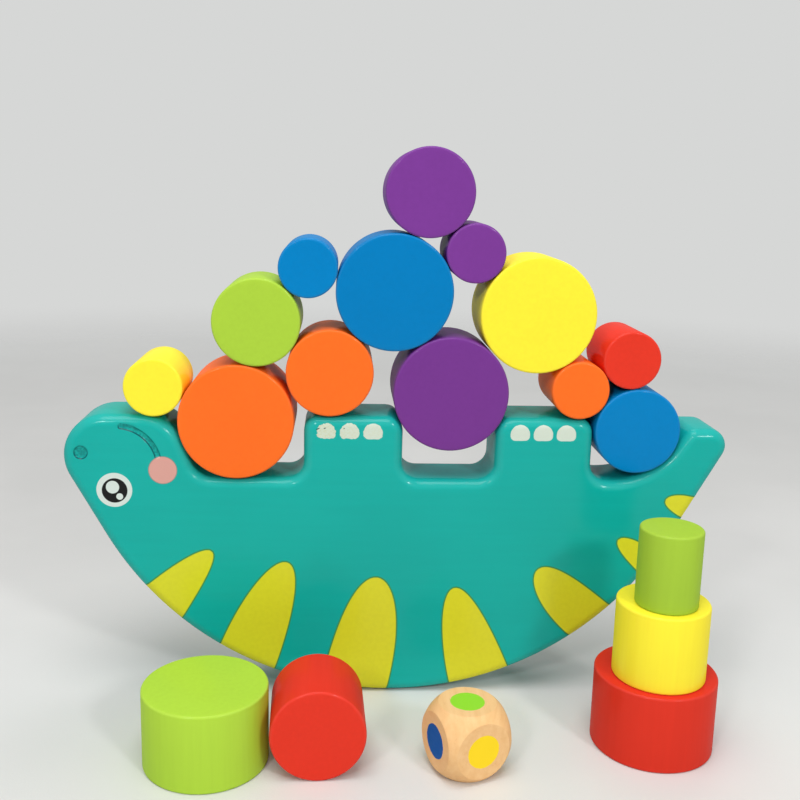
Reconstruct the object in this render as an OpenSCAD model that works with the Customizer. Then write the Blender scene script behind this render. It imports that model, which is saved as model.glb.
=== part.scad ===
// Dinosaur balance game: a rocking board, a pile of round wooden blocks, and a colour die.
// X runs along the board from nose to tail, Y through its thickness, Z up from the table.
// The origin is on the table, under the middle of the board's round back.

/* [Board] */
// Radius of the round back that the board rocks on
belly_r = 116; // [111:0.5:124]
// Thickness of the board
board_t = 25; // [20:0.5:36]
// Round-over along the edges of both faces
edge_r = 3.5; // [1:0.1:4]
// Slope of the straight edge that runs up to the nose
nose_slope = 61; // [58:0.5:65]
// Slope of the straight edge that runs up to the tail
tail_slope = 61.5; // [58:0.5:65]
// Height of the chin, the highest part of the head, above the table
head_top = 103.7; // [101:0.1:107]
// Rounding of the nose
nose_r = 15; // [11:0.5:17]
// Rounding of the chin
chin_r = 15; // [8:0.5:18]
// Lean of the neck, away from the first leg
neck_lean = 23; // [15:0.5:30]

/* [Legs and pockets] */
// Height of both legs above the table
leg_top = 104; // [100:0.5:108]
// Width of each leg
leg_w = 34.8; // [32:0.2:37]
// Rounding of the legs' corners
leg_r = 5.5; // [4.2:0.1:8]
// Width of the middle pocket
leg_gap = 32.8; // [30:0.2:35]
// Middle of that pocket, measured along X
leg_mid = 19.6; // [18:0.2:21]
// Height of the pocket floors above the table
pocket_z = 81.3; // [78:0.1:84]
// Rounding in the pockets' corners
pocket_r = 6; // [3:0.5:8]
// Width of the first pocket's floor, from the neck to the first leg
neck_floor = 37.1; // [34:0.1:40]
// Rounding where the neck meets that floor
neck_r = 8; // [4:0.5:10]

/* [Tail] */
// Height of the tail's tip above the table
tail_top = 100.6; // [98:0.1:103]
// Slope of the tail's inner edge
tail_rise = 55; // [50:0.5:60]
// Width of the last pocket's floor, from the second leg to the tail
tail_floor = 21.7; // [20:0.1:23]
// Hollow of the tail's inner edge
tail_seat_r = 28; // [24:0.5:30]
// Rounding of the tail's tip, on its outer side
tip_r = 6.2; // [4.5:0.1:6.6]
// Rounding of the tail's tip, on its inner side
tip_inner_r = 4.2; // [4.1:0.1:5.5]

/* [Engraving] */
// Radius of the mouth's curve
mouth_r = 14.5; // [11:0.5:15]
// Distance of the mouth's centre from the corner of the chin
mouth_in = 18.1; // [17:0.1:20]
// Depth of the mouth's centre below the top of the head
mouth_drop = 18.2; // [17:0.1:20]
// Width of the engraved lines
line_w = 2.2; // [1:0.1:2.4]
// Depth of the engraved lines
line_depth = 0.7; // [0.3:0.1:1]
// Radius of the nostril's dish
nostril_r = 2.5; // [1.5:0.1:3]
// Distance of the nostril from the corner of the nose
nostril_in = 17; // [15:0.1:20]
// Depth of the nostril below the top of the head
nostril_drop = 13.3; // [10:0.1:16]

/* [Blocks] */
// Diameter of a large block
large_d = 40.4; // [38:0.2:42]
// Diameter of a medium block
medium_d = 30.4; // [28:0.2:31]
// Diameter of a small block
small_d = 20.4; // [18:0.2:21]
// Length of every block
block_l = 26; // [20:0.5:32]
// Round-over on the blocks' ends
block_edge = 0.8; // [0.4:0.1:3]
// Room between blocks that lean on each other or on the board
seat_gap = 0.3; // [0.1:0.05:0.5]
// Room between the block on the first leg and the one in the first pocket
lean_gap = 1.5; // [0.3:0.1:2.5]

/* [Pieces on the table] */
// Where the standing block is, along X
standing_x = -61; // [-90:0.5:-55]
// How far it stands in front of the board
standing_y = 54.5; // [50:0.5:80]
// Where the lying block is, along X
lying_x = -25; // [-32:0.5:-8]
// How far it lies in front of the board
lying_y = 55; // [50:0.5:80]
// How much it is turned
lying_turn = 2; // [-10:1:10]
// Where the tower is, along X
tower_x = 88; // [60:0.5:100]
// How far it stands in front of the board
tower_y = 45; // [42:0.5:80]
// How far each block of the tower is set forward on the one below
tower_step = 2.5; // [0:0.5:5]

/* [Die] */
// Size of the die across its faces
die_w = 22.6; // [18:0.2:26]
// Radius of the flat on each face
die_flat_r = 9.3; // [6:0.1:11]
// Where the die is, along X
die_x = 22.8; // [10:0.2:35]
// How far it lies in front of the board
die_y = 59.6; // [50:0.2:80]
// How much it is turned
die_turn = 22; // [0:1:45]

/* [Hidden] */
$fn = 96;
teal = [0.13, 0.66, 0.61];
orange = [1.0, 0.45, 0.18];
purple = [0.48, 0.24, 0.58];
blue = [0.05, 0.50, 0.75];
yellow = [1.0, 0.94, 0.24];
green = [0.69, 0.83, 0.25];
red = [0.89, 0.24, 0.17];
beech = [0.92, 0.75, 0.55];
large = large_d / 2;
medium = medium_d / 2;
small = small_d / 2;
// Height that the true round band stands above the rest of the back
band_h = 0.1;
// Largest distance from a chord of the outline to its arc
arc_tol = 0.03;
// Steps in the round-over of an edge
edge_steps = 4;

// Corners of the board, counter-clockwise from its back, each as [x, z, rounding]
skin_r = belly_r - band_h;
leg1_x = [leg_mid - leg_gap / 2 - leg_w, leg_mid - leg_gap / 2];
leg2_x = [leg_mid + leg_gap / 2, leg_mid + leg_gap / 2 + leg_w];
neck_x = leg1_x[0] - neck_floor;
chin_x = neck_x - (head_top - pocket_z) * tan(neck_lean);
seat_x = leg2_x[1] + tail_floor;
tip_x = seat_x + (tail_top - pocket_z) / tan(tail_rise);
// The last pocket's corner keeps clear of the tail's hollow
last_r = min(pocket_r, tail_floor - tail_seat_r * tan(tail_rise / 2));
nose_x = -(skin_r + (head_top - belly_r) * cos(nose_slope)) / sin(nose_slope);
tail_x = (skin_r + (tail_top - belly_r) * cos(tail_slope)) / sin(tail_slope);
keel_t = (tan(tail_slope) * skin_r / sin(tail_slope) - tan(nose_slope) * skin_r / sin(nose_slope))
         / (tan(tail_slope) + tan(nose_slope));
keel_z = belly_r + (keel_t - skin_r / sin(tail_slope)) * tan(tail_slope);
CORNERS = [
  [keel_t, keel_z, skin_r],
  [tail_x, tail_top, tip_r],
  [tip_x, tail_top, tip_inner_r],
  [seat_x, pocket_z, tail_seat_r],
  [leg2_x[1], pocket_z, last_r],
  [leg2_x[1], leg_top, leg_r],
  [leg2_x[0], leg_top, leg_r],
  [leg2_x[0], pocket_z, pocket_r],
  [leg1_x[1], pocket_z, pocket_r],
  [leg1_x[1], leg_top, leg_r],
  [leg1_x[0], leg_top, leg_r],
  [leg1_x[0], pocket_z, pocket_r],
  [neck_x, pocket_z, neck_r],
  [chin_x, head_top, chin_r],
  [nose_x, head_top, nose_r],
];

function xz(c) = [c[0], c[1]];
function unit(v) = v / norm(v);
function angle_of(v) = atan2(v[1], v[0]);

// Centre of the arc that rounds corner c between its neighbours p and n
function arc_centre(p, c, n) =
  let (u = unit(xz(p) - xz(c)), v = unit(xz(n) - xz(c)), half = acos(u * v) / 2)
  xz(c) + unit(u + v) * c[2] / sin(half);

// Points of that arc with the outline's outward normal, each as [x, z, normal x, normal z]
function arc(p, c, n) =
  let (
    u = unit(xz(p) - xz(c)),
    v = unit(xz(n) - xz(c)),
    half = acos(u * v) / 2,
    centre = arc_centre(p, c, n),
    side = cross(xz(c) - xz(p), xz(n) - xz(c)) > 0 ? 1 : -1,
    first = angle_of(xz(c) + u * c[2] / tan(half) - centre),
    sweep = 180 - 2 * half,
    steps = max(3, ceil(sweep / (2 * acos(1 - arc_tol / c[2]))))
  )
  [for (i = [0:steps])
    let (a = first + side * sweep * i / steps)
    [centre[0] + c[2] * cos(a), centre[1] + c[2] * sin(a), side * cos(a), side * sin(a)]];

function corner(i) = CORNERS[(i + len(CORNERS)) % len(CORNERS)];
ARCS = [for (i = [0:len(CORNERS) - 1]) arc(corner(i - 1), corner(i), corner(i + 1))];
OUTLINE = [for (a = ARCS) each a];

// Places in the outline of the first, last and middle points of corner i
function first(i) = i == 0 ? 0 : first(i - 1) + len(ARCS[i - 1]);
function last(i) = first(i + 1) - 1;
function mid(i) = floor((first(i) + last(i)) / 2);
function run(a, b) = [for (i = [a:1:b]) i];

// Patches of a flat face, each of which fans out from its first point: tail, body, legs, and head
PATCHES = [
  concat([last(0)], run(first(1), mid(3))),
  concat(run(mid(0), last(0)), run(mid(3), mid(4)), run(mid(7), mid(8)), run(mid(11), mid(12)),
         run(0, mid(0) - 1)),
  concat([last(6)], run(mid(4), last(6) - 1)),
  concat([mid(4), last(6)], run(first(7), mid(7))),
  concat([last(10)], run(mid(8), last(10) - 1)),
  concat([mid(8), last(10)], run(first(11), mid(11))),
  concat([0], run(mid(12), last(14))),
];

// Inset and depth of each ring of the board's skin, from its front face to its back face
EDGE = [for (i = [0:edge_steps])
  let (a = 90 * i / edge_steps)
  [edge_r * (1 - sin(a)), edge_r * (1 - cos(a)) - board_t / 2]];
RINGS = concat(EDGE, [for (i = [edge_steps:-1:0]) [EDGE[i][0], -EDGE[i][1]]]);

// Places of the piled blocks, as [x, z]
// The upper place where a block of radius r rests on two round seats at a and b, of radii ra and rb
function seat(a, ra, b, rb, r) =
  let (
    da = ra + r + seat_gap,
    db = rb + r + seat_gap,
    d = norm(b - a),
    along = (da * da - db * db + d * d) / (2 * d),
    up = sqrt(da * da - along * along),
    u = (b - a) / d
  )
  a + along * u + up * [-u[1], u[0]];
chin_c = arc_centre(corner(12), corner(13), corner(14));
tail_c = arc_centre(corner(2), corner(3), corner(4));
leg1_c = [leg1_x[1] - leg_r, leg_top - leg_r];
leg2_c = [leg2_x[0] + leg_r, leg_top - leg_r];
orange_large_z = pocket_z + large + seat_gap;
orange_large_at = [
  neck_x + (large + seat_gap - (orange_large_z - pocket_z) * sin(neck_lean)) / cos(neck_lean),
  orange_large_z
];
blue_medium_x = leg2_x[1] + medium + seat_gap;
blue_medium_at = [
  blue_medium_x,
  tail_c[1] - sqrt(pow(tail_seat_r - medium - seat_gap, 2) - pow(blue_medium_x - tail_c[0], 2))
];
orange_medium_z = leg_top + medium + seat_gap;
// Square of the room across that it leaves the block in the first pocket
orange_medium_sq = pow(large + medium + lean_gap, 2) - pow(orange_medium_z - orange_large_z, 2);
orange_medium_at = [
  max(orange_large_at[0] + sqrt(max(orange_medium_sq, 0)), leg1_x[0] + leg_r),
  orange_medium_z
];
orange_small_z = leg_top + small + seat_gap;
// Square of the room across that it leaves the block in the last pocket
orange_small_sq = pow(medium + small + seat_gap, 2) - pow(orange_small_z - blue_medium_at[1], 2);
orange_small_at = [
  min(blue_medium_at[0] - sqrt(max(orange_small_sq, 0)), leg2_x[1] - leg_r),
  orange_small_z
];
yellow_small_at = seat(chin_c, chin_r, orange_large_at, large, small);
purple_large_at = seat(leg1_c, leg_r, leg2_c, leg_r, large);
green_medium_at = seat(orange_large_at, large, orange_medium_at, medium, medium);
blue_large_at = seat(orange_medium_at, medium, purple_large_at, large, large);
yellow_large_at = seat(purple_large_at, large, orange_small_at, small, large);
red_small_at = seat(orange_small_at, small, blue_medium_at, medium, small);
// The small blue block drops onto the block below where the two that carry it stand too far apart
blue_small_seat = norm(blue_large_at - green_medium_at) < large + medium + 2 * (small + seat_gap)
                  ? green_medium_at : orange_medium_at;
blue_small_at = seat(blue_small_seat, medium, blue_large_at, large, small);
purple_small_at = seat(blue_large_at, large, yellow_large_at, large, small);
purple_medium_at = seat(blue_large_at, large, purple_small_at, small, medium);

// The board's skin: the outline lofted through its rounded edges from face to face
module board_skin() {
  n = len(OUTLINE);
  rings = len(RINGS);
  points = [for (r = RINGS, p = OUTLINE) [p[0] - r[0] * p[2], r[1], p[1] - r[0] * p[3]]];
  sides = [for (j = [0:rings - 2], i = [0:n - 1])
    [j * n + i, j * n + (i + 1) % n, (j + 1) * n + (i + 1) % n, (j + 1) * n + i]];
  front = [for (p = PATCHES) concat(p[0], [for (i = [len(p) - 1:-1:1]) p[i]])];
  back = [for (p = PATCHES) [for (i = p) (rings - 1) * n + i]];
  polyhedron(points, concat(front, back, sides));
}

// True round band along the back, which runs on the table
module belly_band() {
  half_w = board_t / 2 - edge_r - 0.2;
  first = 270 - nose_slope + 3;
  translate([0, 0, belly_r]) rotate([90, 0, 0]) rotate([0, 0, first])
    rotate_extrude(angle = nose_slope + tail_slope - 6)
      translate([belly_r - 2, -half_w]) square([2, 2 * half_w]);
}

// Engraved line along an arc on one face, from angle a0 to a1
module engraved_arc(centre, r, a0, a1) {
  tube_r = (line_w * line_w / 4 + line_depth * line_depth) / (2 * line_depth);
  translate([centre[0], -board_t / 2, centre[1]]) rotate([90, 0, 0]) rotate([0, 0, a0])
    rotate_extrude(angle = a1 - a0) translate([r, tube_r - line_depth]) circle(tube_r);
}

// Shallow round dish on one face, of radius r where it meets the face
module engraved_dish(centre, r) {
  ball_r = (r * r + line_depth * line_depth) / (2 * line_depth);
  translate([centre[0], line_depth - ball_r - board_t / 2, centre[1]]) sphere(ball_r);
}

// Mouth and nostril of one face
module engraved_face() {
  engraved_arc([chin_x - mouth_in, head_top - mouth_drop], mouth_r, 8, 84);
  engraved_dish([nose_x + nostril_in, head_top - nostril_drop], nostril_r);
}

module dino_board() {
  color(teal) difference() {
    union() {
      board_skin();
      belly_band();
    }
    engraved_face();
    mirror([0, 1, 0]) engraved_face();
  }
}

// One block of radius r, standing on its end about the origin
module block(r) {
  round_over = [for (i = [0:3]) let (a = 30 * i) block_edge * [sin(a) - 1, cos(a) - 1]];
  half = [for (p = round_over) [r + p[0], block_l / 2 + p[1]]];
  rotate_extrude() polygon(concat(
    [[0, block_l / 2]], half, [for (i = [3:-1:0]) [half[i][0], -half[i][1]]], [[0, -block_l / 2]]));
}

module piled(at, r) {
  translate([at[0], 0, at[1]]) rotate([90, 0, 0]) block(r);
}

module standing(x, y, level, r) {
  translate([x, -y, (level + 0.5) * block_l]) block(r);
}

module orange_large() { color(orange) piled(orange_large_at, large); }
module purple_large() { color(purple) piled(purple_large_at, large); }
module blue_medium() { color(blue) piled(blue_medium_at, medium); }
module orange_medium() { color(orange) piled(orange_medium_at, medium); }
module orange_small() { color(orange) piled(orange_small_at, small); }
module yellow_small() { color(yellow) piled(yellow_small_at, small); }
module green_medium() { color(green) piled(green_medium_at, medium); }
module blue_large() { color(blue) piled(blue_large_at, large); }
module yellow_large() { color(yellow) piled(yellow_large_at, large); }
module red_small() { color(red) piled(red_small_at, small); }
module blue_small() { color(blue) piled(blue_small_at, small); }
module purple_small() { color(purple) piled(purple_small_at, small); }
module purple_medium() { color(purple) piled(purple_medium_at, medium); }
module green_large() { color(green) standing(standing_x, standing_y, 0, large); }
module red_large() { color(red) standing(tower_x, tower_y, 0, large); }
module yellow_medium() { color(yellow) standing(tower_x, tower_y + tower_step, 1, medium); }
module green_small() { color(green) standing(tower_x, tower_y + 2 * tower_step, 2, small); }

module red_medium() {
  color(red) translate([lying_x, -lying_y, medium]) rotate([0, 0, lying_turn]) rotate([90, 0, 0]) block(medium);
}

module color_die() {
  ball_r = sqrt(die_w * die_w / 4 + die_flat_r * die_flat_r);
  color(beech) translate([die_x, -die_y, die_w / 2]) rotate([0, 0, die_turn]) intersection() {
    cube(die_w, center = true);
    sphere(ball_r);
  }
}

dino_board();
orange_large();
purple_large();
blue_medium();
orange_medium();
orange_small();
yellow_small();
green_medium();
blue_large();
yellow_large();
red_small();
blue_small();
purple_small();
purple_medium();
green_large();
red_medium();
red_large();
yellow_medium();
green_small();
color_die();
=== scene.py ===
"""Looks of a wooden dinosaur balance game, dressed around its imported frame.

A board cut as a dinosaur on its back carries a pile of round blocks. More blocks and a colour die
stand on the table in front of it. Lengths in the classes are millimetres along the frame's own axes:
X from nose to tail, Y through the board's thickness, Z up from the table. Noise in the materials is
given as features to the metre, and the depth of a bump and the table's fade in metres.
"""

import logging
import math
from dataclasses import dataclass
from enum import Enum
from typing import Any

import bpy
import numpy as np
from mathutils import Matrix, Vector
from mathutils.geometry import delaunay_2d_cdt

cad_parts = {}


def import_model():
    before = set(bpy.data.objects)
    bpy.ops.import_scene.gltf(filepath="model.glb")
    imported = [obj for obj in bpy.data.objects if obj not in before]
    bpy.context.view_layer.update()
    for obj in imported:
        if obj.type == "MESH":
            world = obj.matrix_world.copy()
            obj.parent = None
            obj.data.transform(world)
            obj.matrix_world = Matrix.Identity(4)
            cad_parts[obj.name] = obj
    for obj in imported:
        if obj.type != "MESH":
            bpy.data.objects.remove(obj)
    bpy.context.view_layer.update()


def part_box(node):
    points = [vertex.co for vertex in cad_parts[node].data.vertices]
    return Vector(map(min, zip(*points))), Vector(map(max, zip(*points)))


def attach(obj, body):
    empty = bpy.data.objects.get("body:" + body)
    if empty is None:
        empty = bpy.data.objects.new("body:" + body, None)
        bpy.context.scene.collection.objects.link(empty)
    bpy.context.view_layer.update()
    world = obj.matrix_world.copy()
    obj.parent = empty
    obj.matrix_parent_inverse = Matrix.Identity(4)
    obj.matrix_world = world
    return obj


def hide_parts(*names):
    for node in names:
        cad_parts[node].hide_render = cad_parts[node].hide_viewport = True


LOG = logging.getLogger("balance_game")
MM = 0.001
IMAGE_PX = 800
TINY = 1e-12
MOST_AT_ONCE = 4000
ONLY_INSIDE = 1
Point = tuple[float, float]
Pair = tuple[float, float]
Triple = tuple[float, float, float]
Rgb = tuple[float, float, float]
Socket = bpy.types.NodeSocket


class Paint(Enum):
    """Paints of the set, each as the sRGB colour of a lit face, from 0 to 255."""

    TEAL = (14, 171, 162)
    ORANGE = (255, 112, 36)
    PURPLE = (122, 58, 148)
    BLUE = (0, 127, 193)
    YELLOW = (255, 236, 58)
    GREEN = (176, 214, 66)
    RED = (228, 56, 38)

    @property
    def linear(self) -> Rgb:
        """The paint as linear light, which shaders take."""
        return linear(self.value)


class Along(Enum):
    """Axis that a block's length runs along."""

    Y = 1
    Z = 2


class Home(Enum):
    """What a node graph belongs to: its collection, its first shader and its output."""

    MATERIAL = ("materials", "Principled BSDF", "Material Output")
    WORLD = ("worlds", "Background", "World Output")


def linear(srgb: tuple[int, int, int]) -> Rgb:
    """Turns an sRGB colour into linear light by the sRGB curve.

    Args:
        srgb: Red, green and blue from 0 to 255.

    Returns:
        The three channels from 0 to 1.
    """
    c = np.asarray(srgb, float) / 255
    lit = np.where(c <= 0.04045, c / 12.92, ((c + 0.055) / 1.055) ** 2.4)
    return tuple(lit.tolist())


def shade(color: Rgb, factor: float) -> Rgb:
    """The same colour with each channel times a factor, kept within 0 to 1."""
    return tuple(min(1.0, c * factor) for c in color)


def smooth_step(low: float, high: float, value: np.ndarray) -> np.ndarray:
    """Rises from 0 at low to 1 at high along the cubic 3t² - 2t³."""
    t = np.clip((value - low) / (high - low), 0, 1)
    return t * t * (3 - 2 * t)


def unit(vector: np.ndarray) -> np.ndarray:
    """A plane vector shortened or drawn out to a length of 1."""
    return vector / np.hypot(*vector)


def full_turn(count: int) -> np.ndarray:
    """Even angles once round a circle."""
    return np.linspace(0, 2 * np.pi, count, endpoint=False)


def spokes(turn: np.ndarray) -> np.ndarray:
    """Plane vectors of length 1 at some angles, one row each."""
    return np.stack([np.cos(turn), np.sin(turn)], axis=1)


def mirrored(row: np.ndarray, sign: int = 1) -> np.ndarray:
    """A row of numbers, then the same row backwards, times a sign."""
    return np.concatenate([row, sign * row[::-1]])


def turn_about_z(degrees: float) -> np.ndarray:
    """Matrix that turns a piece on the table."""
    cos, sin = math.cos(math.radians(degrees)), math.sin(math.radians(degrees))
    return np.array([[cos, -sin, 0], [sin, cos, 0], [0, 0, 1]])


def rings_about_z(reach: np.ndarray, height: np.ndarray, around: int) -> np.ndarray:
    """Rings of points about the Z axis: reach times cos a and sin a at each angle a, at a height.

    Args:
        reach: Distance from the axis, with one row for each ring.
        height: Height along the axis, in the same way.
        around: How many points each ring has.

    Returns:
        The points of one ring after another, one row each.
    """
    turn = full_turn(around)
    parts = np.broadcast_arrays(reach * np.cos(turn), reach * np.sin(turn), height)
    return np.stack(parts, axis=2).reshape(-1, 3)


def ring_quads(rings: int, around: int) -> np.ndarray:
    """Quads between neighbouring closed rings of points.

    Args:
        rings: How many rings there are, each with its points one after another.
        around: How many points each ring has.

    Returns:
        One row of four point numbers for each quad.
    """
    here = np.arange(around)
    after = (here + 1) % around
    first = np.stack([here + around, after + around, after, here], axis=1)
    starts = np.arange(rings - 1) * around
    return (first + starts[:, None, None]).reshape(-1, 4)


def fan(start: int, around: int, middle: int) -> np.ndarray:
    """Triangles between a closed ring of points and one point in its middle.

    Args:
        start: Number of the ring's first point.
        around: How many points the ring has.
        middle: Number of the point in the middle.

    Returns:
        One row of three point numbers for each triangle.
    """
    here = np.arange(around)
    return np.stack([start + here, start + (here + 1) % around, np.full_like(here, middle)], axis=1)


def staggered_grid(low: np.ndarray, high: np.ndarray, step: float) -> np.ndarray:
    """Points in rows across a plane box, each second row moved along by half a step.

    Args:
        low: The box's low corner.
        high: Its high corner.
        step: Distance between neighbouring points.

    Returns:
        The points, one row each.
    """
    across = np.arange(low[0], high[0], step)
    up = np.arange(low[1], high[1], step * math.sqrt(0.75))
    grid = np.stack(np.meshgrid(across, up, indexing="ij"), axis=2)
    grid[:, ::2, 0] += step / 2
    return grid.reshape(-1, 2)


def distance_to_loop(points: np.ndarray, loop: np.ndarray) -> np.ndarray:
    """Signed distance from points to a closed loop of straight edges, below zero inside it.

    The distance is the least of those to the nearest point of each edge. A point is inside where a ray
    along +X crosses the loop an odd number of times. The points are taken some thousands at a time.

    Args:
        points: Plane points, one row each.
        loop: The loop's corners in order, one row each.

    Returns:
        One distance for each point.
    """
    start, step = loop, np.roll(loop, -1, axis=0) - loop
    length_sq = np.maximum((step**2).sum(1), TINY)
    climb = np.where(step[:, 1] == 0, TINY, step[:, 1])
    parts = []
    for some in np.array_split(points, max(1, len(points) // MOST_AT_ONCE)):
        away = some[:, None] - start
        share = np.clip((away * step).sum(2) / length_sq, 0, 1)
        gap = away - share[..., None] * step
        nearest = np.sqrt((gap**2).sum(2).min(1))
        rises = (start[:, 1] > some[:, 1, None]) != (start[:, 1] + step[:, 1] > some[:, 1, None])
        crossing = start[:, 0] + away[..., 1] * step[:, 0] / climb
        odd = (rises & (some[:, 0, None] < crossing)).sum(1) % 2
        parts.append(np.where(odd == 1, -nearest, nearest))
    return np.concatenate(parts)


def make_piece(name: str, points: np.ndarray, faces: list[np.ndarray],
               values: dict[str, np.ndarray]) -> bpy.types.Object:
    """Makes a smooth mesh piece at the origin, with its place in its points.

    Args:
        name: Name of the piece.
        points: Its points in millimetres, one row each.
        faces: Arrays of point numbers, one row for each face, all turned outwards.
        values: Numbers or colours for each point that its material reads, by name.

    Returns:
        The new object, linked to the scene.
    """
    mesh = bpy.data.meshes.new(name)
    mesh.from_pydata((points * MM).tolist(), [], [row for array in faces for row in array.tolist()])
    mesh.shade_smooth()
    for key, array in values.items():
        wide = array.ndim == 2
        layer = mesh.attributes.new(key, "FLOAT_COLOR" if wide else "FLOAT", "POINT")
        layer.data.foreach_set("color" if wide else "value", array.astype(np.float32).ravel())
    mesh.update()
    piece = bpy.data.objects.new(name, mesh)
    bpy.context.scene.collection.objects.link(piece)
    return piece


def mount_piece(piece: bpy.types.Object, material: bpy.types.Material, node: str) -> None:
    """Paints a piece and lets it stand for one CAD node, on that node's body.

    Args:
        piece: The dressed piece.
        material: Its finish.
        node: The CAD node it stands for, which is also its body's name.
    """
    piece.data.materials.append(material)
    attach(piece, node)
    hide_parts(node)
    LOG.info("%s: %d points, %d faces", piece.name, len(piece.data.vertices), len(piece.data.polygons))


@dataclass(frozen=True)
class Mottle:
    """Noise that varies a finish, with one scale or one along each axis.

    Its values within a span are carried over to another span by a smooth step.
    """

    scale: float | Triple
    detail: float
    span: Pair = (0.3, 0.7)
    over: Pair = (0.0, 1.0)


class Graph:
    """The node graph of a material or a world, with one short method for each kind of step in it.

    A value that a method takes is another node's socket, a plain number or a colour.
    """

    soft_edge: float = 0.07

    def __init__(self, name: str, home: Home = Home.MATERIAL) -> None:
        """Starts a material or a world with its bare first shader.

        Args:
            name: Name of the material or world.
            home: Which of the two it is.
        """
        collection, shader, output = home.value
        self.owner = getattr(bpy.data, collection).new(name)
        self.owner.use_nodes = True
        self.nodes = self.owner.node_tree.nodes
        self.shader, self.output = self.nodes[shader], self.nodes[output]

    @property
    def place(self) -> Socket:
        """The piece's own coordinates in metres."""
        return self.node("ShaderNodeTexCoord", {}).outputs["Object"]

    def feed(self, socket: Socket, value: Any) -> None:
        """Links a socket to another, or sets it to a plain number, colour or vector.

        Args:
            socket: The input.
            value: What it takes.
        """
        if isinstance(value, Socket):
            self.owner.node_tree.links.new(value, socket)
        elif socket.type == "RGBA":
            socket.default_value = (*value, 1.0)
        else:
            socket.default_value = value

    def put(self, name: str, value: Any) -> None:
        """Feeds one of the shader's own inputs."""
        self.feed(self.shader.inputs[name], value)

    def node(self, kind: str, feeds: dict[int | str, Any], **settings: str) -> bpy.types.ShaderNode:
        """Adds a node.

        Args:
            kind: Its type.
            feeds: What its inputs take, by name or number.
            settings: Values of its own properties.

        Returns:
            The new node.
        """
        made = self.nodes.new(kind)
        for key, value in settings.items():
            setattr(made, key, value)
        for key, value in feeds.items():
            self.feed(made.inputs[key], value)
        return made

    def value(self, name: str) -> Socket:
        """A number that each point of the mesh carries."""
        return self.node("ShaderNodeAttribute", {}, attribute_name=name).outputs["Fac"]

    def color(self, name: str) -> Socket:
        """A colour that each point of the mesh carries."""
        return self.node("ShaderNodeAttribute", {}, attribute_name=name).outputs["Color"]

    def math(self, operation: str, first: Any, second: Any = 0.0) -> Socket:
        """One step of arithmetic on two numbers."""
        return self.node("ShaderNodeMath", {0: first, 1: second}, operation=operation).outputs[0]

    def times(self, first: Any, second: Any) -> Socket:
        """The product of two numbers."""
        return self.math("MULTIPLY", first, second)

    def weigh(self, first: Any, second: Any, share: float) -> Socket:
        """A share of one number and the rest of another, added up."""
        return self.math("ADD", self.times(first, share), self.times(second, 1 - share))

    def spread(self, value: Any, low: float, high: float, to_low: float, to_high: float) -> Socket:
        """Carries low to high over to to_low to to_high along a smooth step."""
        feeds = {"Value": value, "From Min": low, "From Max": high, "To Min": to_low, "To Max": to_high}
        return self.node("ShaderNodeMapRange", feeds, interpolation_type="SMOOTHSTEP").outputs["Result"]

    def noise(self, scale: float | Triple, detail: float) -> Socket:
        """Noise from 0 to 1 on the piece's own coordinates, scaled alike or along each axis.

        Args:
            scale: Features to the metre, one number or one for each axis.
            detail: How many finer layers it has.

        Returns:
            The noise's socket.
        """
        feeds = {"Vector": self.place, "Scale": scale, "Detail": detail}
        if isinstance(scale, tuple):
            mapping = self.node("ShaderNodeMapping", {"Vector": self.place, "Scale": scale})
            feeds |= {"Vector": mapping.outputs["Vector"], "Scale": 1.0}
        return self.node("ShaderNodeTexNoise", feeds).outputs["Fac"]

    def mottle(self, kind: Mottle) -> Socket:
        """Noise of a kind, carried over to its span."""
        return self.spread(self.noise(kind.scale, kind.detail), *kind.span, *kind.over)

    def inside(self, distance: Any) -> Socket:
        """One where a signed distance is below zero and zero above, with a thin soft edge."""
        return self.spread(distance, -self.soft_edge, self.soft_edge, 1.0, 0.0)

    def line(self, distance: Any, half_width: float) -> Socket:
        """One along the edge of a shape, up to half a width to either side of it."""
        return self.inside(self.math("SUBTRACT", self.math("ABSOLUTE", distance), half_width))

    def mix(self, share: Any, first: Any, second: Any) -> Socket:
        """Mixes two colours, which are the node's inputs 6 and 7, by a share from 0 to 1."""
        return self.node("ShaderNodeMix", {0: share, 6: first, 7: second}, data_type="RGBA").outputs[2]

    def drift(self, share: Any, color: Rgb, least: float, most: float) -> Socket:
        """A colour times a factor that goes from least to most with a share."""
        return self.mix(share, shade(color, least), shade(color, most))

    def bump(self, height: Any, strength: float, depth: float, layer: str = "Normal") -> None:
        """Roughs a layer of the shader by a height from 0 to 1 that stands for a depth."""
        feeds = {"Height": height, "Strength": strength, "Distance": depth}
        self.put(layer, self.node("ShaderNodeBump", feeds).outputs["Normal"])

    def blend(self, share: Socket, other: bpy.types.ShaderNode) -> None:
        """Shows another shader in place of the first one, by a share from 0 to 1."""
        both = self.node("ShaderNodeMixShader", {0: share, 1: self.shader.outputs[0], 2: other.outputs[0]})
        self.feed(self.output.inputs["Surface"], both.outputs[0])


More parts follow.
